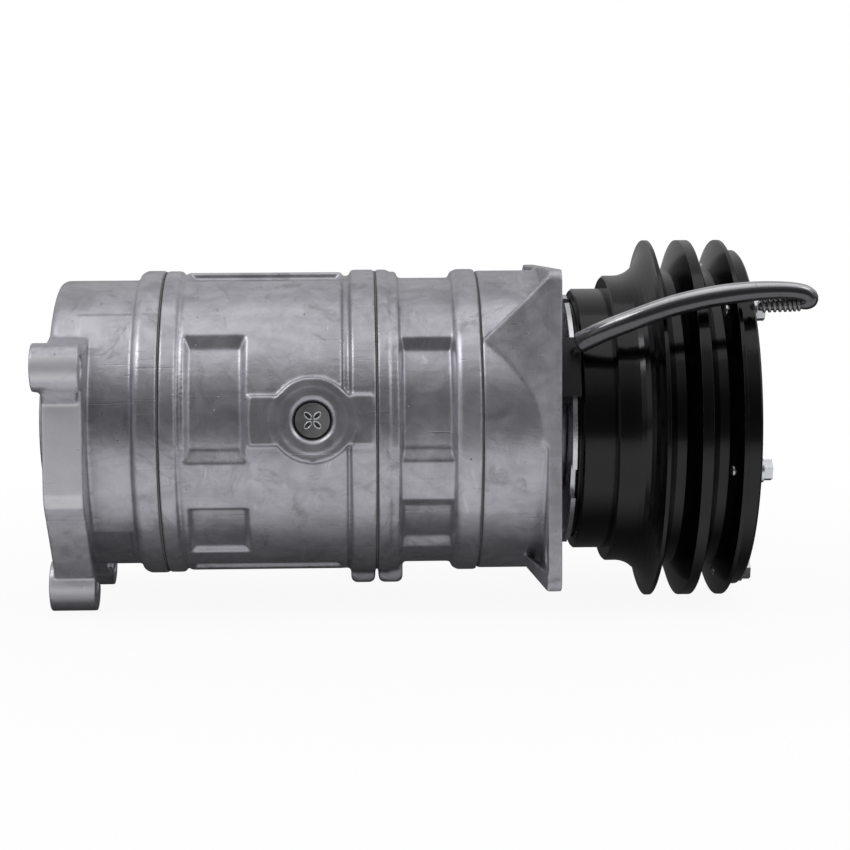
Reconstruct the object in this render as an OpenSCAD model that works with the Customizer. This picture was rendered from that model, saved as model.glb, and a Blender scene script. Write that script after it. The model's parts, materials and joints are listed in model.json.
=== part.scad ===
// Belt-driven swash-plate refrigerant compressor with an electromagnetic clutch.
// Frame: +X runs along the shaft towards the pulley, +Z is up. The origin is on the
// shaft axis, at the front face of the square mounting plate.
// Angles around the shaft start at the -Y side and turn towards +Z.

/* [Casings] */
// Side of the square mounting plate
plate_side = 130; // [128:0.5:134]
// Thickness of the mounting plate
plate_t = 5.5; // [5:0.5:7]
// Radius of the sealing beads at the joints
bead_r = 64.2; // [64:0.1:64.8]
// Radius of the raised panels between the beads
panel_r = 63.2; // [62.5:0.1:63.8]
// Radius of the floor of the cast pockets
pocket_r = 60.2; // [59.8:0.1:60.6]
// Radius of the rear head's body
rear_r = 60.2; // [59.8:0.1:61]
// Distance from one corner hole of the mounting plate to the next
plate_hole_pitch = 104; // [102:0.5:106]
// Radius of the corner holes
plate_hole_r = 4.2; // [4:0.1:4.5]

/* [Pumping] */
// Radius of the circle through the cylinder axes
bore_pitch_r = 36; // [35.8:0.1:36.2]
// Radius of one cylinder
bore_r = 14; // [13.9:0.1:14]
// Travel of a piston from end to end
stroke = 18; // [17:0.5:18]
// Radius of the drive shaft
shaft_r = 9.5; // [9.4:0.1:9.5]

/* [Clutch] */
// Outside radius of the three pulley rims
rim_r = 76; // [75:0.5:77]
// Distance from one rim to the next
rim_pitch = 15.6; // [15.4:0.1:15.7]
// Radius of the rotor's rear drum
drum_r = 55.5; // [55:0.1:55.6]
// Radius of the rotor's front flange
flange_r = 71.6; // [71:0.1:72]
// Radius of the circle of pulley screws
screw_pitch_r = 66; // [65.5:0.1:66.5]
// Axial air gap between the clutch plate and the rotor
air_gap = 0.5; // [0.4:0.05:0.6]

/* [Lead] */
// Radius of the sleeve around the coil lead
sleeve_r = 4.2; // [4:0.1:4.4]

/* [Hidden] */
$fn = 96;
CYLINDERS = 5;
STEP_ANGLE = 360 / CYLINDERS;
FIRST_BORE_ANGLE = 18;
FIRST_BOLT_ANGLE = -18;

// Joint planes along the shaft, from the front head backwards
head_joint_x = -31.5;
centre_joint_x = -73.8;
rear_joint_x = -161.6;
rear_face_x = -205.9;
port_face_x = -213;
gasket_half = 0.25;

// Swash chamber, between the rear cylinders and the centre joint
chamber_x0 = -118.5;
chamber_x1 = centre_joint_x - gasket_half;
chamber_r = 52;
swash_x = (head_joint_x + rear_joint_x) / 2 + 0.4;
swash_r = 42;
swash_half_t = 4;
swash_tilt = atan(stroke / 2 / bore_pitch_r);
slot_half = 23.5;
piston_half = 54.6;
piston_r = bore_r - 0.07;
bridge_floor_r = swash_r + 1.5;
shoe_r = 6;
hub_half = 16;
hub_r = 16;

// Through bolts
bolt_circle_r = 52.5;
bolt_r = 3;
bolt_hole_r = 3.3;
bolt_end_x = -187;
head_sink = 7;

// Shaft bores
needle_seat_r = 12.5;
seal_bore_r = 13.5;
nose_r = 17.5;
nose_end_x = 62;
valve_plate_r = 56.3;
valve_plate_t = 2.4;
reed_recess = 0.35;
reed_recess_r = 35.6;

// Front head: its round body, and the low round step on its face that centres the bracket
head_r = 63.5;
spigot_r = 58.4;

// Clutch, from the mounting plate forwards
coil_plate_x = 5.5;
rotor_rear_x = 9.6;
sheave_x0 = 23.1;
rim_1_x = 41.4;
sheave_x1 = 73;
rotor_front_x = 79.6;
friction_x = 74.5;
plate_recess_r = 58.5;
bearing_x0 = 36;
bearing_x1 = 58;
bearing_r = 27.5;
armature_x = friction_x + air_gap;
armature_t = 3.5;
spring_x = armature_x + armature_t + 0.5;

ALLOY = [0.62, 0.63, 0.65];
STEEL = [0.55, 0.56, 0.58];
ZINC = [0.8, 0.81, 0.83];
BLACK = [0.05, 0.05, 0.055];
RUBBER = [0.08, 0.08, 0.08];

// ---- Helpers ----

// Turns a shape drawn along +Z so that it runs along +X from x
module along_x(x = 0) {
    translate([x, 0, 0]) rotate([0, 90, 0]) children();
}

// A round bar along +X, from x0 to x1
module bar(x0, x1, r) {
    along_x(x0) cylinder(h = x1 - x0, r = r);
}

// A ring along +X
module ring(x0, x1, r_out, r_in) {
    difference() {
        bar(x0, x1, r_out);
        bar(x0 - 1, x1 + 1, r_in);
    }
}

// Turns a [radius, x] outline about the shaft axis
module turned(points) {
    along_x() rotate_extrude() polygon(points);
}

// Moves a shape from the -Y side to an angle around the shaft
module at_angle(angle) {
    rotate([-angle, 0, 0]) children();
}

// Repeats a shape along X-parallel axes on a circle about the shaft
module on_circle(r, count, first) {
    for (i = [0 : count - 1]) {
        at_angle(first + i * 360 / count) translate([0, -r, 0]) children();
    }
}

// Part of a ring, between two angles around the shaft
module sector(x0, x1, r0, r1, angle0, angle1) {
    along_x() rotate([0, 0, -90 - angle1]) rotate_extrude(angle = angle1 - angle0)
        translate([r0, x0]) square([r1 - r0, x1 - x0]);
}

// Prism between two angles around the shaft; its side walls lean outwards by an angle
module wedge(x0, x1, floor_r, span, lean) {
    reach = 9;
    translate([x0, 0, 0]) rotate([90, 0, 90]) linear_extrude(x1 - x0) polygon([
        wall_point(floor_r, span[0], span[0] - lean, -reach),
        wall_point(floor_r, span[0], span[0] - lean, reach),
        polar(120, (span[0] + span[1]) / 2),
        wall_point(floor_r, span[1], span[1] + lean, reach),
        wall_point(floor_r, span[1], span[1] + lean, -reach)
    ]);
}

// Point on the line of a side wall, a distance out from the floor
function wall_point(floor_r, angle, direction, distance) =
    polar(floor_r, angle) + polar(distance, direction);

// Cutter for a cast pocket with a round floor
module pocket(x0, x1, floor_r, span, lean) {
    top_r = bead_r + 4;
    run = (top_r - floor_r) * 0.9;
    intersection() {
        turned([[floor_r, x0], [top_r, x0 - run], [top_r, x1 + run], [floor_r, x1]]);
        wedge(x0 - 20, x1 + 20, floor_r, span, lean);
    }
}

// [y, z] of a point at an angle around the shaft
function polar(r, angle) = [-r * cos(angle), r * sin(angle)];

function bore_angle(i) = FIRST_BORE_ANGLE + (i - 1) * STEP_ANGLE;
function piston_offset(i) = stroke / 2 * sin(bore_angle(i));

// ---- Casings ----

// Large rib from an upper corner of the mounting plate down to the front head's body
module upper_rib() {
    hull() {
        translate([-plate_t - 0.4, -plate_side / 2 + 0.3, -6]) cube([1, 9, 68]);
        translate([-30.4, -52.6, 30]) cube([0.6, 3, 7]);
    }
}

// Short rib behind a lower corner of the mounting plate
module lower_rib() {
    hull() {
        translate([-plate_t - 0.4, 0.5 - plate_side / 2, 0.5 - plate_side / 2]) cube([1, 25, 7]);
        translate([-14, -30, -57]) cube([0.6, 8, 4]);
    }
}

// Holes for the through bolts, drilled along the whole casing
module bolt_holes(x0, x1, r) {
    on_circle(bolt_circle_r, CYLINDERS, FIRST_BOLT_ANGLE) bar(x0, x1, r);
}

// Suction ring and discharge ring, open towards the valve plate
module head_galleries(x0, x1) {
    ring(x0, x1, 46.5, 37.5);
    ring(x0, x1, 34.5, 20);
}

module mounting_plate() {
    corner = 5;
    translate([-plate_t, 0, 0]) rotate([90, 0, 90]) linear_extrude(plate_t) {
        square([plate_side, plate_side - 2 * corner], center = true);
        square([plate_side - 2 * corner, plate_side], center = true);
        for (sy = [-1, 1], sz = [-1, 1]) {
            translate([sy, sz] * (plate_side / 2 - corner)) circle(corner);
        }
    }
}

module front_head() {
    recess_x = head_joint_x + gasket_half + valve_plate_t + 0.05;
    color(ALLOY) difference() {
        union() {
            mounting_plate();
            turned([
                [0, head_joint_x + gasket_half], [head_r - 0.4, head_joint_x + gasket_half],
                [head_r, head_joint_x + 0.7], [head_r, -plate_t + 0.5], [0, -plate_t + 0.5]
            ]);
            for (side = [0, 1]) mirror([0, side, 0]) {
                upper_rib();
                lower_rib();
            }
            bar(-1, 0.3, spigot_r);
            bar(-1, coil_plate_x, 31);
            bar(0, nose_end_x, nose_r);
        }
        bar(head_joint_x, recess_x, valve_plate_r + 0.2);
        bar(head_joint_x, recess_x + reed_recess, reed_recess_r);
        head_galleries(head_joint_x, -12);
        bar(head_joint_x, nose_end_x + 1, seal_bore_r);
        bolt_holes(head_joint_x - 1, 1, bolt_hole_r);
        bolt_holes(-head_sink, 1, 7);
        for (sy = [-1, 1], sz = [-1, 1]) {
            translate([0, sy, sz] * plate_hole_pitch / 2) bar(-40, 1, plate_hole_r);
        }
        // Grooves for the snap rings of the seal, the coil and the bearing
        ring(33.0, 34.4, seal_bore_r + 1, seal_bore_r - 1);
        ring(7.6, 9.2, nose_r + 1, nose_r - 1);
        ring(bearing_x1 + 0.1, bearing_x1 + 1.9, nose_r + 1, nose_r - 1);
    }
}

module front_cylinder_block() {
    x0 = centre_joint_x + gasket_half;
    x1 = head_joint_x - gasket_half;
    color(ALLOY) difference() {
        union() {
            turned([
                [0, x0], [bead_r - 0.3, x0], [bead_r, x0 + 0.3], [bead_r, -68.8],
                [bead_r - 0.9, -68.6], [bead_r - 0.9, -65], [neck_floor_r, -63.2],
                [neck_floor_r, -43.6], [bead_r - 1.2, -41.8], [bead_r, -39.5], [bead_r, x1 - 0.3],
                [bead_r - 0.3, x1], [0, x1]
            ]);
            for (span = NECK_PADS) intersection() {
                bar(-65.8, -40.8, neck_pad_r);
                wedge(-66.5, -40.2, neck_floor_r, span, -SOFT_LEAN);
            }
            bottom_lug(x0 + 0.4);
        }
        on_circle(bore_pitch_r, CYLINDERS, FIRST_BORE_ANGLE) bar(x0 - 1, x1 + 1, bore_r);
        bolt_holes(x0 - 1, x1 + 1, bolt_hole_r);
        bar(x0 - 1, x1 + 1, needle_seat_r);
    }
}

// Angles of the pockets cast between the raised panels that carry the bolt channels
SIDE_POCKETS = [[-6.2, 33.9], [146.1, 186.2]];
LOWER_POCKETS = [[-52.3, -30.5], [210.5, 232.3]];
TOP_POCKETS = [[72.5, 87], [93, 107.5]];
UNDER_POCKETS = [[-75, -66], [-114, -105]];
// Angles of the raised pads on the front block's neck
NECK_PADS = [[34, 146], [-32, -6.5], [186.5, 212], [-129, -51]];
neck_floor_r = 57.6;
neck_pad_r = 60.6;
// How far the side walls of pockets and pads lean away from the radius
SOFT_LEAN = 60;
STEEP_LEAN = 35;
EDGE_LEAN = 8;
LUG_L = 10.3;
LUG_TOP_R = 68.5;

// Lug under the centre joint, one on each side of it
module bottom_lug(x) {
    half_w = 11;
    round_r = 2.5;
    translate([x, 0, -LUG_TOP_R]) {
        translate([0, -half_w, round_r]) cube([LUG_L, 2 * half_w, 10]);
        translate([round_r, -half_w, 0]) cube([LUG_L - 2 * round_r, 2 * half_w, 10]);
        for (cx = [round_r, LUG_L - round_r]) {
            translate([cx, half_w, round_r]) rotate([90, 0, 0]) cylinder(h = 2 * half_w, r = round_r);
        }
    }
}

// Plug axis: on the near side, a little above the horizontal
plug_x = -99.7;
plug_angle = 5;
plug_floor_r = 63.4;
plug_recess_r = 7.3;
boss_face_r = 65.2;

module rear_cylinder_block() {
    x0 = rear_joint_x + gasket_half;
    x1 = chamber_x1;
    color(ALLOY) difference() {
        union() {
            turned([
                [0, x0], [bead_r - 0.5, x0], [bead_r - 0.2, x0 + 0.3], [bead_r - 0.2, -155],
                [panel_r - 0.9, -154], [panel_r - 0.9, -153], [panel_r, -152.3],
                [panel_r, -88.2], [panel_r - 1.6, -87.2], [panel_r - 1.6, -85],
                [bead_r, -83.8], [bead_r, x1 - 0.3], [bead_r - 0.3, x1], [0, x1]
            ]);
            // Below the plug the groove beside the bead is filled but for a thin line
            for (span = [[-85, -4], [184, 265]]) {
                sector(-88.6, -86, 50, panel_r - 0.12, span[0], span[1]);
            }
            at_angle(plug_angle) {
                translate([-126, -64.4, -10]) cube([50, 20, 20]);
                translate([plug_x, 0, 0]) rotate([90, 0, 0]) cylinder(h = 64.8, r = 17.2);
                translate([plug_x, 0, 0]) rotate([90, 0, 0]) cylinder(h = boss_face_r, r = 13.2);
            }
            bottom_lug(x1 - 0.4 - LUG_L);
        }
        for (span = SIDE_POCKETS) pocket(-149, -128.8, pocket_r, span, SOFT_LEAN);
        for (span = LOWER_POCKETS) pocket(-148.6, -127.8, pocket_r + 0.6, span, STEEP_LEAN);
        for (span = concat(TOP_POCKETS, UNDER_POCKETS)) pocket(-149.6, -90, pocket_r, span, EDGE_LEAN);
        on_circle(bore_pitch_r, CYLINDERS, FIRST_BORE_ANGLE) bar(x0 - 1, chamber_x0 + 1, bore_r);
        bolt_holes(x0 - 1, x1 + 1, bolt_hole_r);
        bar(chamber_x0, x1 + 1, chamber_r);
        bar(-153, chamber_x0 + 1, needle_seat_r);
        at_angle(plug_angle) translate([plug_x, 0, 0]) rotate([90, 0, 0]) {
            translate([0, 0, 40]) cylinder(h = 40, r = 5.6);
            translate([0, 0, plug_floor_r - 2.2]) cylinder(h = 10, r = plug_recess_r);
            // Flare of the recess, out to a radius of 9.5 at the boss face
            translate([0, 0, plug_floor_r]) cylinder(h = 3, r1 = plug_recess_r, r2 = plug_recess_r + 3.6);
        }
    }
}

// Positions of the mounting ears on the rear head, as [y, z, boss radius]
EARS = [[-33, -64.7, 10.5], [33, -64.7, 10.5], [-77.8, 28.3, 9.6], [77.8, 28.3, 9.6]];
ear_hole_r = 4.7;
ear_x0 = -208.4;
ear_x1 = -189.4;
// Suction and discharge ports on the rear face
port_y = 15;
suction_r = 8.5;
discharge_r = 6.5;
manifold_screw_r = 4.2;

// Angles of the smooth pads on the rear head's sides, and of the reliefs below them
HEAD_PADS = [[-43, 51], [129, 223]];
HEAD_RELIEFS = [[-82, -43.3], [-136.7, -98]];

// Boss and tapered arm of one ear
module ear(y, z, r) {
    reach = norm([y, z]);
    translate([0, y, z]) bar(ear_x0, ear_x1, r);
    rotate([atan2(z, y), 0, 0]) translate([ear_x0 + 3, 0, 0]) rotate([90, 0, 90])
        linear_extrude(ear_x1 - ear_x0 - 5)
            polygon([[reach, -r + 0.5], [reach, r - 0.5], [48, 22], [48, -22]]);
}

// Thick web between the upper and lower ear of one side
module ear_web() {
    translate([ear_x0 + 2.6, 0, 0]) rotate([90, 0, 90]) linear_extrude(ear_x1 - ear_x0 - 3)
        polygon([[-40, 40], [-73.6, 32], [-73.6, -23], [-71.5, -28], [-43.3, -60], [-30, -56]]);
}

module rear_head() {
    x1 = rear_joint_x - gasket_half;
    gallery_x = -190;
    color(ALLOY) difference() {
        union() {
            turned([
                [0, rear_face_x], [rear_r - 3, rear_face_x], [rear_r - 0.9, rear_face_x + 0.9],
                [rear_r, rear_face_x + 3], [rear_r, -173.4], [rear_r + 0.8, -172.2],
                [bead_r - 1.2, -171.6], [bead_r, -169.4], [bead_r, x1 - 0.3], [bead_r - 0.3, x1], [0, x1]
            ]);
            turned([
                [0, port_face_x], [29, port_face_x], [30, port_face_x + 1],
                [30, rear_face_x - 1.5], [31.5, rear_face_x + 0.5], [0, rear_face_x + 0.5]
            ]);
            for (e = EARS) ear(e[0], e[1], e[2]);
            ear_web();
            mirror([0, 1, 0]) ear_web();
            for (span = HEAD_PADS) sector(-194, -172.8, 50, rear_r + 0.7, span[0], span[1]);
        }
        for (span = HEAD_RELIEFS) sector(-191.6, -174.6, rear_r - 1.3, 70, span[0], span[1]);
        bar(x1 - valve_plate_t - 0.05, x1 + 1, valve_plate_r + 0.2);
        bar(x1 - valve_plate_t - 0.05 - reed_recess, x1 + 1, reed_recess_r);
        mirror([1, 0, 0]) head_galleries(-x1 - 1, -gallery_x);
        bolt_holes(gallery_x, x1 + 1, bolt_r + 0.05);
        for (e = EARS) translate([0, e[0], e[1]]) bar(ear_x0 - 5, ear_x1 + 5, ear_hole_r);
        // Discharge port opens into the inner gallery
        translate([0, port_y, 0]) {
            bar(port_face_x - 1, -199, discharge_r);
            translate([0, 10, 0]) bar(-204, gallery_x + 1, 4.5);
            translate([-202, 0, 0]) rotate([-90, 0, 0]) cylinder(h = 10, r = 2.8);
        }
        // Suction port crosses to the outer gallery
        translate([0, -port_y, 0]) bar(port_face_x - 1, -193, suction_r);
        translate([-198, -port_y, 0]) rotate([90, 0, 0]) cylinder(h = 27, r = 5);
        translate([0, -42, 0]) bar(-202, gallery_x + 1, 4.4);
        bar(port_face_x - 1, -197, manifold_screw_r);
    }
}

// Flat ring that seals a joint; its edge shows between the castings
module joint_gasket(x, r) {
    color(RUBBER) ring(x - gasket_half, x + gasket_half, r, valve_plate_r + 0.6);
}

module front_joint_gasket() { joint_gasket(head_joint_x, head_r - 0.5); }
module centre_joint_gasket() { joint_gasket(centre_joint_x, bead_r - 0.5); }
module rear_joint_gasket() { joint_gasket(rear_joint_x, bead_r - 0.6); }

// ---- Valves ----

suction_hole_r = 42.5;
discharge_hole_r = 29;

// Valve plate with one suction and one discharge hole for each cylinder
module valve_plate(x0) {
    color(STEEL) difference() {
        bar(x0, x0 + valve_plate_t, valve_plate_r);
        bolt_holes(x0 - 1, x0 + 5, bolt_hole_r);
        on_circle(suction_hole_r, CYLINDERS, FIRST_BORE_ANGLE) bar(x0 - 1, x0 + 5, 4);
        on_circle(discharge_hole_r, CYLINDERS, FIRST_BORE_ANGLE) bar(x0 - 1, x0 + 5, 3);
        bar(x0 - 1, x0 + 5, needle_seat_r + 0.1);
    }
}

// Thin steel star, with one tongue over each cylinder's hole
module reed(x0, root_r, tongue_r, tongue_half_w) {
    color(STEEL) difference() {
        union() {
            bar(x0, x0 + 0.3, root_r);
            on_circle(tongue_r, CYLINDERS, FIRST_BORE_ANGLE) {
                bar(x0, x0 + 0.3, tongue_half_w);
                translate([x0, 0, -tongue_half_w]) cube([0.3, tongue_r - 13, 2 * tongue_half_w]);
            }
        }
        bar(x0 - 1, x0 + 1, needle_seat_r + 0.1);
    }
}

module front_valve_plate() { valve_plate(head_joint_x + 0.2); }
module rear_valve_plate() { valve_plate(rear_joint_x - 0.2 - valve_plate_t); }
module front_suction_reed() { reed(head_joint_x - 0.15, 20, suction_hole_r, 5); }
module rear_suction_reed() { reed(rear_joint_x - 0.15, 20, suction_hole_r, 5); }
module front_discharge_reed() { reed(head_joint_x + 0.25 + valve_plate_t, 19, discharge_hole_r, 4); }
module rear_discharge_reed() { reed(rear_joint_x - 0.55 - valve_plate_t, 19, discharge_hole_r, 4); }

// ---- Fasteners of the casing ----

module through_bolts() {
    color(ZINC) on_circle(bolt_circle_r, CYLINDERS, FIRST_BOLT_ANGLE) {
        bar(bolt_end_x, -head_sink + 1.2, bolt_r);
        difference() {
            along_x(-head_sink + 1) cylinder(h = 5, r = 5.8, $fn = 6);
            along_x(-head_sink + 5) cylinder(h = 2, r = 3);
        }
    }
}

module bolt_washers() {
    color(ZINC) on_circle(bolt_circle_r, CYLINDERS, FIRST_BOLT_ANGLE)
        ring(-head_sink, -head_sink + 0.98, 6.4, bolt_r + 0.05);
}

// Filler plug with a crossed drive recess
module oil_plug() {
    color(STEEL) at_angle(plug_angle) translate([plug_x, 0, 0]) rotate([90, 0, 0]) difference() {
        union() {
            translate([0, 0, 50]) cylinder(h = plug_floor_r - 49, r = 5.5);
            translate([0, 0, plug_floor_r - 1.1]) cylinder(h = 2.2, r = plug_recess_r - 0.35);
        }
        for (turn = [45, 135]) rotate([0, 0, turn]) {
            for (side = [-1, 1]) {
                translate([side * 2.6, 0, plug_floor_r + 0.3]) cube([3, 1.5, 3], center = true);
            }
        }
    }
}

module oil_plug_seal() {
    color(RUBBER) at_angle(plug_angle) translate([plug_x, 0, 0]) rotate([90, 0, 0])
        translate([0, 0, plug_floor_r - 2.2]) difference() {
            cylinder(h = 1.05, r = plug_recess_r - 0.2);
            translate([0, 0, -1]) cylinder(h = 3, r = 5.6);
        }
}

// ---- Bearings and shaft ----

module needle_bearing(x0) {
    needle_r = 1.15;
    color(STEEL) {
        ring(x0, x0 + 18, needle_seat_r - 0.02, needle_seat_r - 0.6);
        on_circle(shaft_r + needle_r + 0.04, 16, 0) bar(x0 + 1, x0 + 17, needle_r);
    }
}

module front_needle_bearing() { needle_bearing(-68); }
module rear_needle_bearing() { needle_bearing(-140); }

// Two washers with a crown of rollers between them
module thrust_bearing(x0) {
    roller_r = 1;
    color(STEEL) {
        ring(x0, x0 + 1.5, 18.5, shaft_r + 1);
        ring(x0 + 3.7, x0 + 5.2, 18.5, shaft_r + 1);
        for (i = [0 : 11]) at_angle(i * 30) {
            translate([x0 + 2.6, -12, 0]) rotate([90, 0, 0]) cylinder(h = 5, r = roller_r);
        }
    }
}

module front_thrust_bearing() { thrust_bearing(swash_x + hub_half + 0.3); }
module rear_thrust_bearing() { thrust_bearing(swash_x - hub_half - 5.5); }

key_x0 = 62;
key_x1 = 74;

module drive_shaft() {
    color(STEEL) difference() {
        union() {
            bar(-150, 60, shaft_r);
            bar(60, 76, 8);
            bar(76, 87, 5);
        }
        translate([key_x0, -1.5, 5.5]) cube([key_x1 - key_x0, 3, 5]);
        bar(86, 88, 1.5);
    }
}

module shaft_key() {
    color(STEEL) translate([key_x0 + 0.05, -1.45, 5.55]) cube([key_x1 - key_x0 - 0.1, 2.9, 3.9]);
}

// Inclined disc on a straight hub
module swash_plate() {
    color(STEEL) translate([swash_x, 0, 0]) difference() {
        union() {
            bar(-hub_half, hub_half, hub_r);
            rotate([0, swash_tilt, 0]) bar(-swash_half_t, swash_half_t, swash_r);
        }
        bar(-hub_half - 1, hub_half + 1, shaft_r);
    }
}

module shaft_seal() {
    color(RUBBER) ring(8, 22, 12.9, shaft_r + 0.02);
}

module seal_seat() {
    color([0.3, 0.3, 0.32]) ring(22.6, 32.8, seal_bore_r - 0.05, shaft_r + 0.7);
}

module seal_snap_ring() {
    color(STEEL) ring(33.1, 34.3, seal_bore_r + 0.8, seal_bore_r - 2);
}

// ---- Pistons ----

// Double-ended piston; the outer bridge joins the heads past the edge of the swash plate
module piston(i) {
    color(ALLOY) at_angle(bore_angle(i)) translate([swash_x + piston_offset(i), -bore_pitch_r, 0])
        difference() {
            bar(-piston_half, piston_half, piston_r);
            translate([-slot_half, -bridge_floor_r + bore_pitch_r, -20]) cube([2 * slot_half, 60, 40]);
            for (side = [-1, 1]) {
                translate([side * slot_half, 0, 0]) sphere(shoe_r + 0.05);
                ring(side * (piston_half - 5) - 1.1, side * (piston_half - 5) + 1.1, 15, 11.9);
            }
        }
}

module piston_rings(i) {
    color(RUBBER) at_angle(bore_angle(i)) translate([swash_x + piston_offset(i), -bore_pitch_r, 0])
        for (side = [-1, 1]) {
            ring(side * (piston_half - 5) - 1, side * (piston_half - 5) + 1, bore_r - 0.02, 12);
        }
}

// Half-ball shoes that take the push of the swash plate
module shoes(i) {
    color(STEEL) at_angle(bore_angle(i)) translate([swash_x + piston_offset(i), -bore_pitch_r, 0])
        for (side = [-1, 1]) translate([side * slot_half, 0, 0]) intersection() {
            sphere(shoe_r);
            translate([side * 10, 0, 0]) cube(20, center = true);
        }
}

module piston_1() { piston(1); }
module piston_2() { piston(2); }
module piston_3() { piston(3); }
module piston_4() { piston(4); }
module piston_5() { piston(5); }
module piston_rings_1() { piston_rings(1); }
module piston_rings_2() { piston_rings(2); }
module piston_rings_3() { piston_rings(3); }
module piston_rings_4() { piston_rings(4); }
module piston_rings_5() { piston_rings(5); }
module shoes_1() { shoes(1); }
module shoes_2() { shoes(2); }
module shoes_3() { shoes(3); }
module shoes_4() { shoes(4); }
module shoes_5() { shoes(5); }

// ---- Coil and its lead ----

coil_x1 = 60;
coil_r = 50;
coil_in_r = 34;

// Angle and width of the notches in the edge of the coil's plate
COIL_PLATE_NOTCHES = [[74, 6], [-26, 14], [-76, 7], [180, 10]];

// Pressed plate that carries the coil on the front head
module coil_plate() {
    color(ZINC) difference() {
        ring(coil_plate_x + 0.05, coil_plate_x + 2, 53, nose_r + 0.1);
        for (notch = COIL_PLATE_NOTCHES) {
            at_angle(notch[0]) translate([coil_plate_x - 1, -60, -notch[1] / 2]) cube([5, 12, notch[1]]);
        }
    }
}

module field_coil() {
    color(BLACK) turned([
        [coil_in_r, coil_plate_x + 2.05], [coil_r - 1, coil_plate_x + 2.05], [coil_r, coil_plate_x + 3],
        [coil_r, coil_x1], [coil_r - 3, coil_x1], [coil_r - 3, coil_x1 - 3],
        [coil_in_r + 3, coil_x1 - 3], [coil_in_r + 3, coil_x1], [coil_in_r, coil_x1]
    ]);
}

module coil_snap_ring() {
    color(STEEL) ring(coil_plate_x + 2.15, coil_plate_x + 3.6, nose_r + 2.6, nose_r - 0.9);
}

// Moulded block on the coil plate, where the lead enters
module coil_terminal() {
    color(RUBBER) {
        sector(0.4, coil_plate_x, 44, 54.5, 12, 42);
        sector(coil_plate_x - 0.5, rotor_rear_x - 0.8, 53.2, 57.5, 14, 40);
        sector(1, coil_plate_x, 53.4, 57.5, 14, 40);
    }
}

// A point seen from the side: x along the shaft, height and nearness in a view from 5 degrees above
function from_side(x, near, up) =
    [x, -near * cos(5) + up * sin(5), up * cos(5) + near * sin(5)];

LEAD_POINTS = [
    from_side(6.5, 51.5, 27), from_side(8.2, 55, 30.4), from_side(18, 61, 35), from_side(30.4, 66.5, 39.7),
    from_side(42, 69.2, 43.7), from_side(54, 70, 46.7), from_side(66, 69, 48.8), from_side(78, 67.4, 50.1),
    from_side(88, 66, 50.4), from_side(94.5, 65.2, 50), from_side(98.4, 64.6, 49),
    from_side(100.2, 64, 47.3), from_side(98.4, 63.4, 45.4), from_side(94, 63, 44.8),
    from_side(87, 62.6, 44.6), from_side(80.4, 62.2, 44.4), from_side(77.6, 62, 44.2)
];
// The sleeve narrows at the fold and again where the returning strand is wound tight
FOLD_POINT = 9;
WOUND_POINT = 13;
fold_r = 3.5;
wound_r = 2.75;
wire_r = 1.5;

function sleeve_r_at(i) = i < FOLD_POINT ? sleeve_r : i < WOUND_POINT ? fold_r : wound_r;

// Round cord through two points or more, with a radius at each
module cord(points, radii) {
    for (i = [0 : len(points) - 2]) hull() {
        translate(points[i]) sphere(radii[i], $fn = 16);
        translate(points[i + 1]) sphere(radii[i + 1], $fn = 16);
    }
}

module lead_sleeve() {
    inside = [1 : len(LEAD_POINTS) - 2];
    color(BLACK) cord([for (i = inside) LEAD_POINTS[i]], [for (i = inside) sleeve_r_at(i)]);
}

// Bare insulated wire that shows at both ends of the sleeve
module coil_lead() {
    last = len(LEAD_POINTS) - 1;
    color(BLACK) difference() {
        union() {
            cord([from_side(5, 49, 24.5), LEAD_POINTS[0], LEAD_POINTS[1]], [wire_r, wire_r, wire_r]);
            cord([LEAD_POINTS[last - 1], LEAD_POINTS[last]], [wire_r, wire_r]);
        }
        coil_terminal();
        translate(LEAD_POINTS[1]) sphere(sleeve_r + 0.1, $fn = 24);
        translate(LEAD_POINTS[last - 1]) sphere(wound_r + 0.1, $fn = 24);
    }
}

// ---- Pulley ----

module bearing_inner_ring() {
    color(STEEL) ring(bearing_x0, bearing_x1, nose_r + 3, nose_r + 0.02);
}

module bearing_outer_ring() {
    color(STEEL) ring(bearing_x0, bearing_x1, bearing_r - 0.02, bearing_r - 3);
}

module bearing_balls() {
    mid_r = (nose_r + bearing_r) / 2;
    color(ZINC) for (x = [bearing_x0 + 5.5, bearing_x1 - 5.5]) {
        on_circle(mid_r, 14, 0) translate([x, 0, 0]) sphere(1.95);
    }
}

module bearing_snap_ring() {
    color(STEEL) ring(bearing_x1 + 0.2, bearing_x1 + 1.8, nose_r + 2.4, nose_r - 0.9);
}

module rotor() {
    color(BLACK) difference() {
        turned([
            [coil_r + 0.7, rotor_rear_x], [drum_r - 0.8, rotor_rear_x], [drum_r, rotor_rear_x + 0.8],
            [drum_r, sheave_x1 + 0.05], [flange_r - 0.8, sheave_x1 + 0.05], [flange_r, sheave_x1 + 0.85],
            [flange_r, rotor_front_x - 0.8], [flange_r - 0.8, rotor_front_x],
            [plate_recess_r, rotor_front_x], [plate_recess_r, friction_x],
            [bearing_r - 3.5, friction_x], [bearing_r - 3.5, bearing_x1 + 3], [bearing_r, bearing_x1 + 3],
            [bearing_r, bearing_x0 - 8], [coil_in_r - 0.7, bearing_x0 - 8],
            [coil_in_r - 0.7, coil_x1 + 1.5], [coil_r + 0.7, coil_x1 + 1.5]
        ]);
        on_circle(screw_pitch_r, 6, -14) bar(sheave_x1 - 1, rotor_front_x + 1, 2.7);
        // Slots that steer the magnetic flux through the friction face
        for (a = [0 : 60 : 300]) sector(coil_x1, friction_x + 1, 42, 45, a + 6, a + 54);
    }
}

groove_floor_r = 63;
rim_edge = 0.8;
rim_2_half = 2.2;
hub_side_r = 61;
flank_x = 28;

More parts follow.
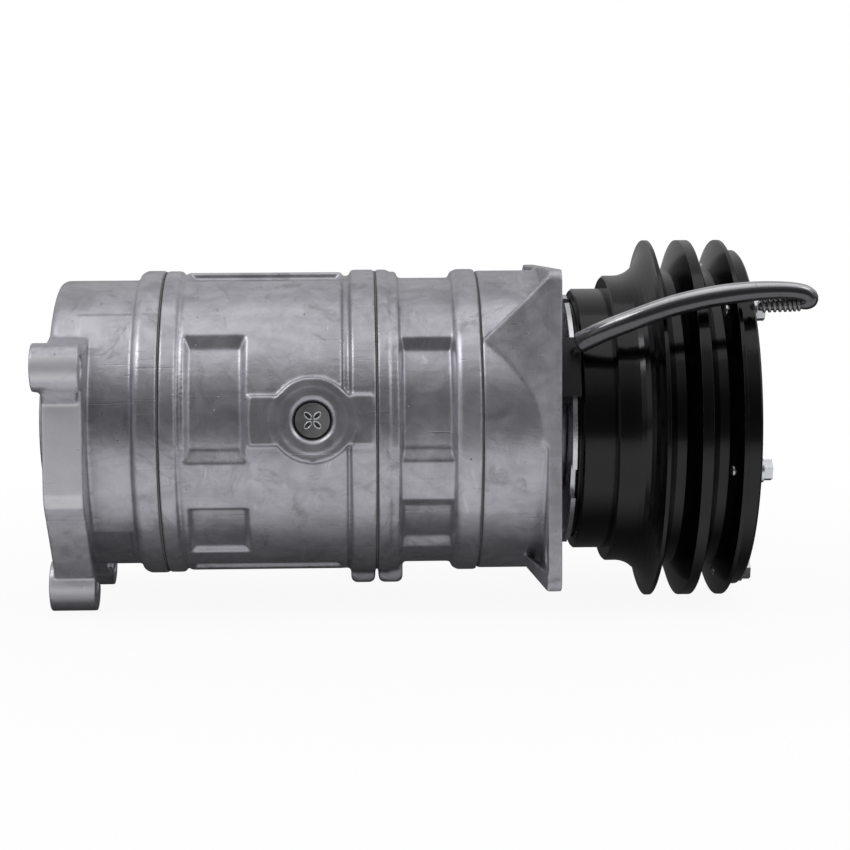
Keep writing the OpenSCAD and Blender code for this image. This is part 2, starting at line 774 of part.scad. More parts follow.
module pulley() {
    rim_2_x = rim_1_x + rim_pitch;
    rim_3_x = sheave_x1 - rim_edge;
    floor_half = 2;
    color(BLACK) difference() {
        turned(concat(
            [[drum_r + 0.05, sheave_x0], [hub_side_r - 0.8, sheave_x0], [hub_side_r, sheave_x0 + 0.8]],
            // Hollow flank that sweeps up to the first rim
            [for (a = [0 : 10 : 90])
                [rim_r - (rim_r - hub_side_r) * cos(a), flank_x + (rim_1_x - 0.7 - flank_x) * sin(a)]],
            [
                [rim_r, rim_1_x + rim_edge],
                [groove_floor_r, (rim_1_x + rim_2_x - rim_2_half) / 2 - floor_half + 0.4],
                [groove_floor_r, (rim_1_x + rim_2_x - rim_2_half) / 2 + floor_half + 0.4],
                [rim_r, rim_2_x - rim_2_half],
                [rim_r, rim_2_x + rim_2_half],
                [groove_floor_r, (rim_2_x + rim_2_half + rim_3_x) / 2 - floor_half],
                [groove_floor_r, (rim_2_x + rim_2_half + rim_3_x) / 2 + floor_half],
                [rim_r, rim_3_x - rim_edge],
                [rim_r, sheave_x1], [drum_r + 0.05, sheave_x1]
            ]
        ));
        on_circle(screw_pitch_r, 6, -14) bar(sheave_x1 - 4.8, sheave_x1 + 1, 2.45);
    }
}

module pulley_screws() {
    color(ZINC) on_circle(screw_pitch_r, 6, -14) {
        bar(sheave_x1 - 4.5, rotor_front_x + 0.5, 2.4);
        bar(rotor_front_x + 0.02, rotor_front_x + 1.1, 5);
        difference() {
            along_x(rotor_front_x + 1) cylinder(h = 3.6, r = 4.5, $fn = 6);
            bar(rotor_front_x + 4, rotor_front_x + 6, 2.4);
        }
    }
}

// ---- Clutch plate and hub ----

spring_rivet_r = 46;
hub_rivet_r = 21;
spring_t = 0.8;
hub_flange_r = 26;
armature_in_r = 29;

// Angles of the armature end of each leaf spring
SPRING_ANGLES = [30, 150, 270];

module clutch_hub() {
    color(STEEL) difference() {
        union() {
            bar(63, spring_x + 3.4, 13.5);
            bar(spring_x + spring_t + 0.02, spring_x + 3.4, hub_flange_r);
        }
        bar(62, 76, 8.02);
        bar(75, 90, 5.05);
        translate([62, -1.5, 5]) cube([key_x1 - key_x0 + 0.2, 3, 4.6]);
    }
}

module clutch_plate() {
    color(BLACK) difference() {
        turned([
            [armature_in_r, armature_x], [plate_recess_r - 1, armature_x],
            [plate_recess_r - 1, armature_x + armature_t - 0.6],
            [plate_recess_r - 1.6, armature_x + armature_t], [armature_in_r, armature_x + armature_t]
        ]);
        for (a = SPRING_ANGLES) at_angle(a) translate([0, -spring_rivet_r, 0])
            bar(armature_x - 1, armature_x + 9, 2.05);
        for (a = [0 : 60 : 300]) sector(armature_x - 1, armature_x + 9, 38.5, 41, a + 12, a + 48);
    }
}

// Straps from the hub flange out to the clutch plate, at a slant so that they can flex
module leaf_springs() {
    color(STEEL) for (a = SPRING_ANGLES) {
        outer = [-spring_rivet_r * cos(a), spring_rivet_r * sin(a)];
        inner = [-hub_rivet_r * cos(a - 58), hub_rivet_r * sin(a - 58)];
        lean = atan2(outer[1] - inner[1], outer[0] - inner[0]);
        difference() {
            union() {
                translate([0, inner[0], inner[1]]) rotate([lean, 0, 0])
                    translate([spring_x, 0, -5]) cube([spring_t, norm(outer - inner), 10]);
                for (p = [inner, outer]) translate([0, p[0], p[1]]) bar(spring_x, spring_x + spring_t, 5.5);
            }
            translate([0, outer[0], outer[1]]) bar(spring_x - 1, spring_x + 2, 2.6);
            bar(spring_x - 1, spring_x + 2, 13.6);
        }
    }
}

// Rivets of the clutch plate; their heads leave the springs room to flex
module clutch_rivets() {
    color(ZINC) for (a = SPRING_ANGLES) at_angle(a) translate([0, -spring_rivet_r, 0]) {
        bar(armature_x + 0.1, spring_x + 2.2, 2);
        turned([
            [0, spring_x + spring_t + 0.6], [4, spring_x + spring_t + 0.6],
            [4, spring_x + spring_t + 1.2], [2.6, spring_x + spring_t + 2], [0, spring_x + spring_t + 2]
        ]);
    }
}

module hub_nut() {
    color(ZINC) {
        difference() {
            along_x(spring_x + 4) cylinder(h = 3.8, r = 7.6, $fn = 6);
            bar(spring_x + 3, spring_x + 10, 5.02);
        }
        ring(spring_x + 3.42, spring_x + 3.98, 8.4, 5.05);
    }
}

front_head();
front_cylinder_block();
rear_cylinder_block();
rear_head();
front_joint_gasket();
centre_joint_gasket();
rear_joint_gasket();
front_valve_plate();
rear_valve_plate();
front_suction_reed();
rear_suction_reed();
front_discharge_reed();
rear_discharge_reed();
through_bolts();
bolt_washers();
oil_plug();
oil_plug_seal();
front_needle_bearing();
rear_needle_bearing();
front_thrust_bearing();
rear_thrust_bearing();
drive_shaft();
swash_plate();
shaft_key();
shaft_seal();
seal_seat();
seal_snap_ring();
piston_1();
piston_2();
piston_3();
piston_4();
piston_5();
piston_rings_1();
piston_rings_2();
piston_rings_3();
piston_rings_4();
piston_rings_5();
shoes_1();
shoes_2();
shoes_3();
shoes_4();
shoes_5();
coil_plate();
field_coil();
coil_snap_ring();
coil_terminal();
coil_lead();
lead_sleeve();
bearing_inner_ring();
bearing_balls();
bearing_outer_ring();
bearing_snap_ring();
rotor();
pulley();
pulley_screws();
clutch_hub();
clutch_plate();
leaf_springs();
clutch_rivets();
hub_nut();
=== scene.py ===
"""Looks of a belt-driven swash-plate compressor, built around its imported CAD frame."""

import json
import math

import bmesh
import bpy
from mathutils import Matrix, Vector

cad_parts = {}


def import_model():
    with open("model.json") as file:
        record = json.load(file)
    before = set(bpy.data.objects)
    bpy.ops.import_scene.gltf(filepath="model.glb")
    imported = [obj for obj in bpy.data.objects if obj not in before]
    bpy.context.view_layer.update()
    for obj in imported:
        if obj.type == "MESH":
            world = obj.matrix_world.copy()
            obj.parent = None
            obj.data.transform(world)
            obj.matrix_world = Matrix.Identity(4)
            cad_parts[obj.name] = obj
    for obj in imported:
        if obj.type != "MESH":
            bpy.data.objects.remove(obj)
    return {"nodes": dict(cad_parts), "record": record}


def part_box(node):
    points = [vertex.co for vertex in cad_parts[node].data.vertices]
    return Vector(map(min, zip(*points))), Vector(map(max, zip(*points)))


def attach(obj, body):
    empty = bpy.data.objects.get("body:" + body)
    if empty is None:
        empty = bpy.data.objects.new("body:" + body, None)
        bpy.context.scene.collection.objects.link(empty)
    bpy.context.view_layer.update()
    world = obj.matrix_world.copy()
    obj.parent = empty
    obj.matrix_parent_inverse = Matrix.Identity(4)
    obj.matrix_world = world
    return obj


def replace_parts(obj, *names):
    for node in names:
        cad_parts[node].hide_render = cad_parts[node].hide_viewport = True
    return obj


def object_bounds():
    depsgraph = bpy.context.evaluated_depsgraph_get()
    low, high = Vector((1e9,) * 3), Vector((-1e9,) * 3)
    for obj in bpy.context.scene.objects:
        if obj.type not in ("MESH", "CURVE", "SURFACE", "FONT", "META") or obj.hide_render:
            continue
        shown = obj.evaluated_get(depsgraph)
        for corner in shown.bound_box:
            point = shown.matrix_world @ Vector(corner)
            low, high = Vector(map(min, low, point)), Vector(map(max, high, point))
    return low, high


MM = 0.001
VIEW_ELEVATION = math.radians(5.0)

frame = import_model()
cad_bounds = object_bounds()
NODES = frame["nodes"]


# ---------------------------------------------------------------- shader helpers

class Graph:
    """Short calls that add and wire the nodes of one node tree."""

    def __init__(self, tree):
        self.nodes = tree.nodes
        self.links = tree.links

    def wire(self, value, socket):
        """Feeds a node output or a plain value into a socket."""
        if isinstance(value, bpy.types.NodeSocket):
            self.links.new(value, socket)
        else:
            socket.default_value = value

    def length(self, vector):
        node = self.nodes.new("ShaderNodeVectorMath")
        node.operation = "LENGTH"
        self.links.new(vector, node.inputs[0])
        return node.outputs["Value"]

    def part(self, vector, axis):
        """One component of a vector."""
        node = self.nodes.new("ShaderNodeSeparateXYZ")
        self.links.new(vector, node.inputs[0])
        return node.outputs[axis]

    def ranged(self, value, from_min, from_max, to_min=0.0, smooth=True):
        """The value mapped to a range that ends at 1."""
        node = self.nodes.new("ShaderNodeMapRange")
        node.interpolation_type = "SMOOTHSTEP" if smooth else "LINEAR"
        self.wire(value, node.inputs["Value"])
        node.inputs["From Min"].default_value = from_min
        node.inputs["From Max"].default_value = from_max
        node.inputs["To Min"].default_value = to_min
        return node.outputs["Result"]

    def math(self, operation, a, b=0.0):
        node = self.nodes.new("ShaderNodeMath")
        node.operation = operation
        self.wire(a, node.inputs[0])
        self.wire(b, node.inputs[1])
        return node.outputs[0]

    def total(self, *terms):
        """Weighted sum of (weight, value) pairs."""
        result = None
        for weight, value in terms:
            weighted = self.math("MULTIPLY", value, weight)
            result = weighted if result is None else self.math("ADD", result, weighted)
        return result

    def mix(self, factor, a, b):
        """Mixes two colours."""
        node = self.nodes.new("ShaderNodeMix")
        node.data_type = "RGBA"
        self.wire(factor, node.inputs["Factor"])
        for value, socket in ((a, node.inputs[6]), (b, node.inputs[7])):
            if isinstance(value, tuple) and len(value) == 3:
                value = (*value, 1.0)
            self.wire(value, socket)
        return node.outputs[2]

    def ramp(self, value, stops):
        """A smooth grey ramp through (position, level) stops."""
        node = self.nodes.new("ShaderNodeValToRGB")
        node.color_ramp.interpolation = "EASE"
        elements = node.color_ramp.elements
        elements[0].position, elements[1].position = stops[0][0], stops[-1][0]
        for position, _ in stops[1:-1]:
            elements.new(position)
        for element, (_, level) in zip(sorted(elements, key=lambda e: e.position), stops):
            element.color = (level, level, level * 1.02, 1.0)
        self.links.new(value, node.inputs["Fac"])
        return node.outputs["Color"]

    def choose(self, factor, first, second):
        """Mixes two surfaces."""
        node = self.nodes.new("ShaderNodeMixShader")
        self.links.new(factor, node.inputs[0])
        self.links.new(first, node.inputs[1])
        self.links.new(second, node.inputs[2])
        return node.outputs[0]

    def to_camera(self):
        """1 for what the camera sees directly, 0 for what the object reflects."""
        return self.nodes.new("ShaderNodeLightPath").outputs["Is Camera Ray"]


class Shader(Graph):
    """A material, with calls for the patterns on a surface."""

    def __init__(self, name):
        self.material = bpy.data.materials.new(name)
        self.material.use_nodes = True
        super().__init__(self.material.node_tree)
        self.surface = self.nodes["Principled BSDF"]
        self.place = self.nodes.new("ShaderNodeTexCoord").outputs["Object"]

    def set(self, **values):
        """Sets inputs of the Principled node; an underscore stands for a space."""
        for name, value in values.items():
            self.wire(value, self.surface.inputs[name.replace("_", " ")])

    def stretched(self, x=1.0, y=1.0, z=1.0, turn=(0.0, 0.0, 0.0)):
        node = self.nodes.new("ShaderNodeMapping")
        self.wire(self.place, node.inputs["Vector"])
        node.inputs["Scale"].default_value = (x, y, z)
        node.inputs["Rotation"].default_value = turn
        return node.outputs["Vector"]

    def off_shaft(self):
        """Distance from the shaft axis."""
        return self.length(self.stretched(x=0.0))

    def along(self, axis):
        return self.part(self.place, axis)

    def facing(self, axis):
        """How far the surface turns towards an axis, from -1 to 1."""
        return self.part(self.nodes.new("ShaderNodeNewGeometry").outputs["Normal"], axis)

    def noise(self, scale, detail=4.0, roughness=0.55, vector=None, distortion=0.0):
        node = self.nodes.new("ShaderNodeTexNoise")
        self.wire(vector or self.place, node.inputs["Vector"])
        node.inputs["Scale"].default_value = scale
        node.inputs["Detail"].default_value = detail
        node.inputs["Roughness"].default_value = roughness
        node.inputs["Distortion"].default_value = distortion
        return node.outputs["Fac"]

    def cells(self, scale):
        node = self.nodes.new("ShaderNodeTexVoronoi")
        self.wire(self.place, node.inputs["Vector"])
        node.inputs["Scale"].default_value = scale
        return node.outputs["Distance"]

    def edges(self, radius_mm, low=0.02, high=0.25):
        """Near 1 along sharp edges, from how far a rounded normal turns from the true one."""
        rounded = self.nodes.new("ShaderNodeBevel")
        rounded.samples = 6
        rounded.inputs["Radius"].default_value = radius_mm * MM
        true = self.nodes.new("ShaderNodeNewGeometry")
        dot = self.nodes.new("ShaderNodeVectorMath")
        dot.operation = "DOT_PRODUCT"
        self.links.new(rounded.outputs["Normal"], dot.inputs[0])
        self.links.new(true.outputs["Normal"], dot.inputs[1])
        return self.ranged(self.math("SUBTRACT", 1.0, dot.outputs["Value"]), low, high)

    def hollows(self, distance_mm):
        """Near 1 in recesses and corners."""
        node = self.nodes.new("ShaderNodeAmbientOcclusion")
        node.samples = 6
        node.inputs["Distance"].default_value = distance_mm * MM
        return self.math("SUBTRACT", 1.0, node.outputs["AO"])

    def bump(self, height, depth_mm, round_mm=0.0):
        """Surface relief; round_mm also softens sharp edges."""
        node = self.nodes.new("ShaderNodeBump")
        self.wire(height, node.inputs["Height"])
        node.inputs["Distance"].default_value = depth_mm * MM
        if round_mm:
            rounded = self.nodes.new("ShaderNodeBevel")
            rounded.samples = 4
            rounded.inputs["Radius"].default_value = round_mm * MM
            self.links.new(rounded.outputs["Normal"], node.inputs["Normal"])
        self.links.new(node.outputs["Normal"], self.surface.inputs["Normal"])


# ---------------------------------------------------------------- materials

def cast_alloy():
    """Die-cast aluminium: flow marks, stains, a fine orange peel, painted shade in the recesses and
    bright edges that are part wear and part painted highlight.
    """
    s = Shader("cast_alloy")
    clouds = s.noise(16, 6, 0.62, distortion=0.8)
    patches = s.noise(70, 5, 0.65, distortion=1.4)
    flow = s.noise(48, 4, 0.6, s.stretched(0.4, 1.0, 1.0, (0.0, 0.25, 0.0)), distortion=2.4)
    grain = s.noise(1100, 3, 0.65)
    smears = s.ranged(s.noise(34, 6, 0.7, distortion=2.2), 0.54, 0.66)
    spots = s.ranged(s.noise(210, 4, 0.7, distortion=0.8), 0.66, 0.72)
    rubs = s.ranged(s.noise(120, 3, 0.6, s.stretched(1.0, 0.35, 0.35), distortion=1.0), 0.62, 0.74)
    streaks = s.noise(300, 2, 0.5, s.stretched(0.05, 1.0, 1.4, (0.3, 0.2, 0.5)))
    scratches = s.ranged(streaks, 0.665, 0.70)
    pits = s.ranged(s.cells(210), 0.10, 0.03)
    few = s.ranged(s.noise(150, 2), 0.56, 0.60)
    pits = s.math("MULTIPLY", pits, few)
    tone = s.total((0.40, clouds), (0.35, patches), (0.25, flow))
    base = s.mix(s.ranged(tone, 0.38, 0.62), (0.41, 0.402, 0.435), (0.59, 0.58, 0.622))
    base = s.mix(s.math("MULTIPLY", smears, 0.50), base, (0.25, 0.255, 0.27))
    base = s.mix(s.math("MULTIPLY", spots, 0.55), base, (0.19, 0.19, 0.20))
    base = s.mix(s.math("MULTIPLY", rubs, 0.35), base, (0.80, 0.80, 0.82))
    # Painted shade: darker in recesses and corners, from an ambient-occlusion mask.
    base = s.mix(s.math("MULTIPLY", s.hollows(5), 0.50), base, (0.13, 0.13, 0.135))
    base = s.mix(s.math("MULTIPLY", pits, 0.8), base, (0.08, 0.08, 0.08))
    # Bright edges: part wear, part painted highlight along every sharp edge, broken up by noise.
    edge = s.math("MULTIPLY", s.edges(0.8, 0.015, 0.16), s.ranged(s.noise(110, 4), 0.32, 0.55))
    base = s.mix(s.math("MULTIPLY", edge, 0.8), base, (0.93, 0.93, 0.945))
    rough = s.total((0.22, clouds), (0.20, patches), (0.08, grain), (0.10, smears), (-0.07, rubs))
    rough = s.math("SUBTRACT", rough, s.math("MULTIPLY", scratches, 0.08))
    rough = s.math("SUBTRACT", rough, s.math("MULTIPLY", edge, 0.08))
    milled = s.ranged(s.along("X"), -0.0060, -0.0052)
    rough = s.math("ADD", rough, s.math("MULTIPLY", milled, 0.12))
    # Painted light: the sides of the web between the ears that face front or back along Y are
    # painted paler, and get less shine.
    painted_pale_web = s.ranged(s.math("ABSOLUTE", s.facing("Y")), 0.80, 0.96)
    painted_pale_web = s.math("MULTIPLY", painted_pale_web, s.ranged(s.along("X"), -0.1870, -0.1895))
    painted_pale_web = s.math("MULTIPLY", painted_pale_web, s.ranged(s.off_shaft(), 0.063, 0.066))
    base = s.mix(s.math("MULTIPLY", painted_pale_web, 0.75), base, (0.86, 0.85, 0.88))
    metallic = s.math("SUBTRACT", 0.82, s.math("MULTIPLY", painted_pale_web, 0.45))
    s.set(Base_Color=base, Metallic=metallic, Roughness=s.math("ADD", rough, 0.08))
    relief = s.total((0.45, patches), (0.20, grain), (0.30, flow), (-0.10, scratches), (-0.6, pits))
    s.bump(relief, 0.26, 0.7)
    return s.material


def black_paint():
    """Gloss black paint over steel, with faint orange peel, dust and rubbed edges."""
    s = Shader("black_paint")
    haze = s.noise(35, 4, 0.6)
    turned = s.noise(700, 2, 0.6, s.stretched(1.0, 0.02, 0.02))
    peel = s.noise(420, 2, 0.5)
    dust = s.ranged(s.noise(1500, 2, 0.7), 0.66, 0.74)
    base = s.mix(s.ranged(haze, 0.3, 0.7), (0.0006, 0.0006, 0.0008), (0.0022, 0.0022, 0.0026))
    base = s.mix(s.math("MULTIPLY", dust, 0.012), base, (0.3, 0.3, 0.3))
    worn = s.math("MULTIPLY", s.edges(0.4), s.ranged(s.noise(160, 4), 0.45, 0.62))
    base = s.mix(s.math("MULTIPLY", worn, 0.35), base, (0.12, 0.12, 0.125))
    rough = s.math("ADD", s.total((0.09, haze), (0.05, peel), (0.03, turned)), 0.08)
    s.set(Base_Color=base, Metallic=0.0, Roughness=rough, Specular_IOR_Level=0.42)
    s.bump(s.total((1.0, peel), (0.6, haze), (0.5, turned)), 0.03, 0.35)
    return s.material


def plated(name, low, high, roughness, stretch=(1.0, 1.0, 1.0)):
    """Plated or machined steel: fine tool marks, a cloudy finish, painted shade in the corners and
    painted highlights along the edges.
    """
    s = Shader(name)
    cloud = s.noise(90, 4, 0.6)
    marks = s.noise(1300, 2, 0.6, s.stretched(*stretch))
    base = s.mix(s.ranged(cloud, 0.3, 0.7), low, high)
    # Painted shade: darker in corners, from an ambient-occlusion mask.
    base = s.mix(s.math("MULTIPLY", s.hollows(2.5), 0.3), base, (0.05, 0.05, 0.05))
    # Painted highlight: lighter along every sharp edge.
    base = s.mix(s.math("MULTIPLY", s.edges(0.25), 0.5), base, tuple(min(1, c * 1.2) for c in high))
    rough = s.math("ADD", s.total((0.16, cloud), (0.12, marks)), roughness - 0.14)
    s.set(Base_Color=base, Metallic=1.0, Roughness=rough)
    s.bump(s.math("ADD", marks, cloud), 0.05, 0.2)
    return s.material


def moulded(name, colour, roughness, sheen=0.0):
    """Rubber or moulded plastic with a fine matt grain."""
    s = Shader(name)
    cloud = s.noise(60, 4, 0.6)
    grain = s.noise(900, 3, 0.6)
    light = tuple(min(1, c * 1.8 + 0.004) for c in colour)
    base = s.mix(s.ranged(cloud, 0.25, 0.75), colour, light)
    # Painted highlight: lighter along every sharp edge.
    base = s.mix(s.math("MULTIPLY", s.edges(0.3), 0.25), base, tuple(c + 0.08 for c in light))
    rough = s.math("ADD", s.total((0.14, cloud), (0.08, grain)), roughness - 0.1)
    s.set(Base_Color=base, Roughness=rough, Sheen_Weight=sheen)
    s.bump(s.math("ADD", grain, cloud), 0.06, 0.25)
    return s.material


def sleeving():
    """Smoky glossy vinyl tube, painted lighter on its upper side and darker on its lower side, by
    which way each surface faces.
    """
    s = Shader("lead_sheath")
    cloud = s.noise(80, 4, 0.6)
    fine = s.noise(700, 3, 0.6)
    dirt = s.ranged(s.noise(160, 5, 0.7), 0.56, 0.68)
    # Painted light and shade: lighter where the surface faces up, darker where it faces down.
    clear = s.mix(s.ranged(cloud, 0.3, 0.7), (0.52, 0.52, 0.53), (0.66, 0.66, 0.67))
    base = s.mix(s.ranged(s.facing("Z"), 0.34, 0.72), (0.13, 0.13, 0.135), clear)
    base = s.mix(s.math("MULTIPLY", dirt, 0.35), base, (0.08, 0.08, 0.08))
    # Painted shade: near black in creases and hollows, from an ambient-occlusion mask.
    base = s.mix(s.math("MULTIPLY", s.hollows(0.6), 0.75), base, (0.01, 0.01, 0.01))
    # Painted highlight: lighter along sharp edges.
    base = s.mix(s.math("MULTIPLY", s.edges(0.2), 0.3), base, (0.45, 0.45, 0.45))
    rough = s.math("ADD", s.total((0.08, cloud), (0.10, dirt)), 0.07)
    s.set(Base_Color=base, Metallic=0.85, Roughness=rough)
    s.bump(s.math("ADD", cloud, s.math("MULTIPLY", fine, 0.3)), 0.08, 0.1)
    return s.material


TOOL_MARKS = (0.1, 1.0, 1.0)
MATERIALS = {
    "cast_alloy": cast_alloy(),
    "black_paint": black_paint(),
    "bright_zinc": plated("bright_zinc", (0.62, 0.63, 0.65), (0.80, 0.81, 0.83), 0.26),
    "bare_steel": plated("bare_steel", (0.34, 0.34, 0.35), (0.58, 0.58, 0.60), 0.30, TOOL_MARKS),
    "dark_steel": plated("dark_steel", (0.27, 0.265, 0.265), (0.40, 0.39, 0.39), 0.42),
    "seal_rubber": moulded("seal_rubber", (0.012, 0.012, 0.012), 0.65, sheen=0.15),
    "gasket_sheet": moulded("gasket_sheet", (0.11, 0.11, 0.105), 0.7),
    "black_nylon": moulded("black_nylon", (0.004, 0.004, 0.005), 0.50),
    "lead_sheath": sleeving(),
    "piston_alloy": plated("piston_alloy", (0.60, 0.60, 0.62), (0.72, 0.72, 0.74), 0.30, TOOL_MARKS),
    "ring_polymer": moulded("ring_polymer", (0.05, 0.035, 0.025), 0.5),
}
SLOTS = {row["node"]: row["material_slot"] for row in frame["record"]["subparts"]}


def paint(piece, slot):
    """Gives a piece one finish."""
    piece.data.materials.clear()
    piece.data.materials.append(MATERIALS[slot])


for node_name, node_object in NODES.items():
    paint(node_object, SLOTS[node_name])


# ---------------------------------------------------------------- cast surfaces

def soften(name, voxel_mm, passes):
    """Rounds every edge and corner of a casting a little, as its mould leaves them."""
    piece = NODES[name]
    weld = piece.modifiers.new("weld", "WELD")
    weld.merge_threshold = 0.00001
    remesh = piece.modifiers.new("remesh", "REMESH")
    remesh.mode = "VOXEL"
    remesh.voxel_size = voxel_mm * MM
    remesh.use_smooth_shade = True
    smooth = piece.modifiers.new("smooth", "SMOOTH")
    smooth.factor = 0.5
    smooth.iterations = passes


for casting in ("front_head", "front_cylinder_block", "rear_cylinder_block", "rear_head"):
    soften(casting, 0.6, 8)


# ---------------------------------------------------------------- new pieces

def new_piece(name, mesh, body, slot):
    """Adds a mesh to the object: it rides on a body and takes one of the record's finishes."""
    piece = bpy.data.objects.new(name, mesh)
    bpy.context.scene.collection.objects.link(piece)
    for face in mesh.polygons:
        face.use_smooth = True
    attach(piece, body)
    paint(piece, slot)
    return piece


def spline(points, step):
    """Evenly spaced points on a smooth curve through the given ones."""
    dense = []
    padded = [points[0] * 2 - points[1], *points, points[-1] * 2 - points[-2]]
    for a, b, c, d in zip(padded, padded[1:], padded[2:], padded[3:]):
        for i in range(40):
            t = i / 40
            dense.append(0.5 * (2 * b + (c - a) * t + (2 * a - 5 * b + 4 * c - d) * t * t
                                + (3 * b - a - 3 * c + d) * t ** 3))
    dense.append(points[-1])
    even = [dense[0]]
    walked = 0.0
    for before, after in zip(dense, dense[1:]):
        walked += (after - before).length
        if walked >= step:
            even.append(after)
            walked = 0.0
    return even


def rings_along(shape, line, radius_at, sides, closed=False):
    """Rings of vertices along a line; radius_at(distance, total) gives the radius."""
    total = sum((b - a).length for a, b in zip(line, line[1:]))
    normal = (line[1] - line[0]).orthogonal().normalized()
    last = len(line) - 1
    walked = 0.0
    rings = []
    for i, point in enumerate(line):
        ahead = line[(i + 1) % len(line)] if closed else line[min(i + 1, last)]
        behind = line[i - 1] if closed else line[max(i - 1, 0)]
        walked += (point - line[max(i - 1, 0)]).length
        direction = (ahead - behind).normalized()
        normal = (normal - direction * normal.dot(direction)).normalized()
        side = direction.cross(normal)
        radius = radius_at(walked, total)
        rings.append([
            shape.verts.new(point + (normal * math.cos(math.tau * k / sides)
                                     + side * math.sin(math.tau * k / sides)) * radius)
            for k in range(sides)
        ])
    return rings


def bridge(shape, a, b):
    """Faces between two rings of vertices."""
    for k in range(len(a)):
        m = (k + 1) % len(a)
        shape.faces.new((a[k], a[m], b[m], b[k]))


def finished(name, shape):
    bmesh.ops.recalc_face_normals(shape, faces=shape.faces)
    mesh = bpy.data.meshes.new(name)
    shape.to_mesh(mesh)
    shape.free()
    return mesh


def tube(name, line, radius_at, wall, sides=32):
    """Hollow tube along a line."""
    shape = bmesh.new()
    outer = rings_along(shape, line, radius_at, sides)
    inner = rings_along(shape, line, lambda walked, total: radius_at(walked, total) - wall, sides)
    for rings in (outer, inner):
        for a, b in zip(rings, rings[1:]):
            bridge(shape, a, b)
    bridge(shape, outer[0], inner[0])
    bridge(shape, outer[-1], inner[-1])
    return finished(name, shape)


def rod(name, line, radius, sides, closed=False):
    """Solid round rod along a line, or around a closed one."""
    shape = bmesh.new()
    rings = rings_along(shape, line, lambda walked, total: radius, sides, closed)
    for a, b in zip(rings, rings[1:]):
        bridge(shape, a, b)
    if closed:
        bridge(shape, rings[-1], rings[0])
    else:
        shape.faces.new(rings[0])
        shape.faces.new(rings[-1])
    return finished(name, shape)


def from_side(x, near, up):
    """A point in mm seen from the side: along the shaft, towards the camera, and height."""
    cos, sin = math.cos(VIEW_ELEVATION), math.sin(VIEW_ELEVATION)
    return Vector((x, -near * cos + up * sin, up * cos + near * sin)) * MM


# Centre line of the lead's sleeve: over the pulley, a tight fold, and back to the front screw
LEAD_LINE = [
    (8.2, 55, 30.4), (18, 61, 35), (30.4, 66.5, 39.7), (42, 69.2, 43.7), (54, 70, 46.7),
    (66, 69, 48.8), (78, 67.4, 50.1), (88, 66, 50.4), (94.5, 65.2, 50), (98.4, 64.6, 49),
    (100.2, 64, 47.3), (98.4, 63.4, 45.4), (94, 63, 44.8), (87, 62.6, 44.6), (79.4, 62.2, 44.4),
]
FOLD_RADIUS = 3.5
# Sleeve radius in mm at distances from its far end
LEAD_RADII = [(0.0, 2.0), (17.0, 2.0), (20.5, 3.4), (30.0, 3.5), (58.0, 4.25), (200.0, 4.25)]


def lead_line():
    """The line, in metres, shifted so that its fold ends where the CAD sleeve does."""
    line = [from_side(*point) for point in LEAD_LINE]
    _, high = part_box("lead_sleeve")
    fold = max(point.x for point in line) + FOLD_RADIUS * MM
    return spline([point + Vector((high[0] - fold, 0, 0)) for point in line], 0.4 * MM)


def lead_sleeve():
    """Smooth sleeve with a slim returning strand, in place of the plain CAD cord."""
    wall, end_length, end_drop = 0.75, 0.6, 0.2

    def radius_at(walked, total):
        left = (total - walked) / MM
        for (d0, r0), (d1, r1) in zip(LEAD_RADII, LEAD_RADII[1:]):
            if d0 <= left <= d1:
                radius = r0 + (r1 - r0) * (left - d0) / (d1 - d0)
        end = min(1.0, min(walked / MM, left) / end_length)
        return (radius - end_drop * (1 - end)) * MM

    mesh = tube("lead_tube", lead_line(), radius_at, wall * MM)
    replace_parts(new_piece("lead_tube", mesh, "casing", "lead_sheath"), "lead_sleeve")


def lead_wrap():
    """Cord wound around the returning strand of the lead."""
    turns, points_in_turn = 8, 20
    pitch, first_turn, coil_radius, cord_radius = 2.15, 0.8, 2.15, 0.72
    strand = list(reversed(lead_line()))
    step = (strand[1] - strand[0]).length / MM
    coil = []
    for i in range(turns * points_in_turn + 1):
        place = (first_turn + pitch * i / points_in_turn) / step
        k = int(place)
        centre = strand[k].lerp(strand[k + 1], place - k)
        angle = math.tau * i / points_in_turn
        coil.append(centre + Vector((0, math.cos(angle), math.sin(angle))) * coil_radius * MM)
    new_piece("lead_wrap", rod("lead_wrap", coil, cord_radius * MM, 14), "casing", "dark_steel")


def plug_rims():
    """Raised burrs around the four slots of the plug, bright from the tool."""
    face_radius, burr_radius = 64.5, 0.28
    slot_place, slot_half_length, slot_half_width = 2.6, 1.75, 0.95
    low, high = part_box("oil_plug")
    tilt = VIEW_ELEVATION
    out = Vector((0, -math.cos(tilt), math.sin(tilt)))
    up = Vector((0, math.sin(tilt), math.cos(tilt)))
    across = Vector((1, 0, 0))
    face = out * face_radius * MM + across * (low[0] + high[0]) / 2
    for k in range(4):
        turn = math.radians(45 + 90 * k)
        radial = across * math.cos(turn) + up * math.sin(turn)
        side = up * math.cos(turn) - across * math.sin(turn)
        loop = []
        for i in range(24):
            angle = math.tau * i / 24
            along = radial * (slot_place + slot_half_length * math.cos(angle))
            loop.append(face + (along + side * slot_half_width * math.sin(angle)) * MM)
        name = f"plug_rim_{k + 1}"
        rim = rod(name, loop, burr_radius * MM, 12, closed=True)
        new_piece(name, rim, "casing", "bright_zinc")


lead_sleeve()
lead_wrap()
plug_rims()


# ---------------------------------------------------------------- stage, light, camera

# Brightness of the floor towards the object, from 0.8 m in front of it (0) to 0.2 m behind (1)
FLOOR_LEVELS = [
    (0.0, 0.10), (0.35, 0.12), (0.5, 0.62), (0.6, 0.78), (0.715, 0.72), (0.765, 0.06), (1.0, 0.04),
]
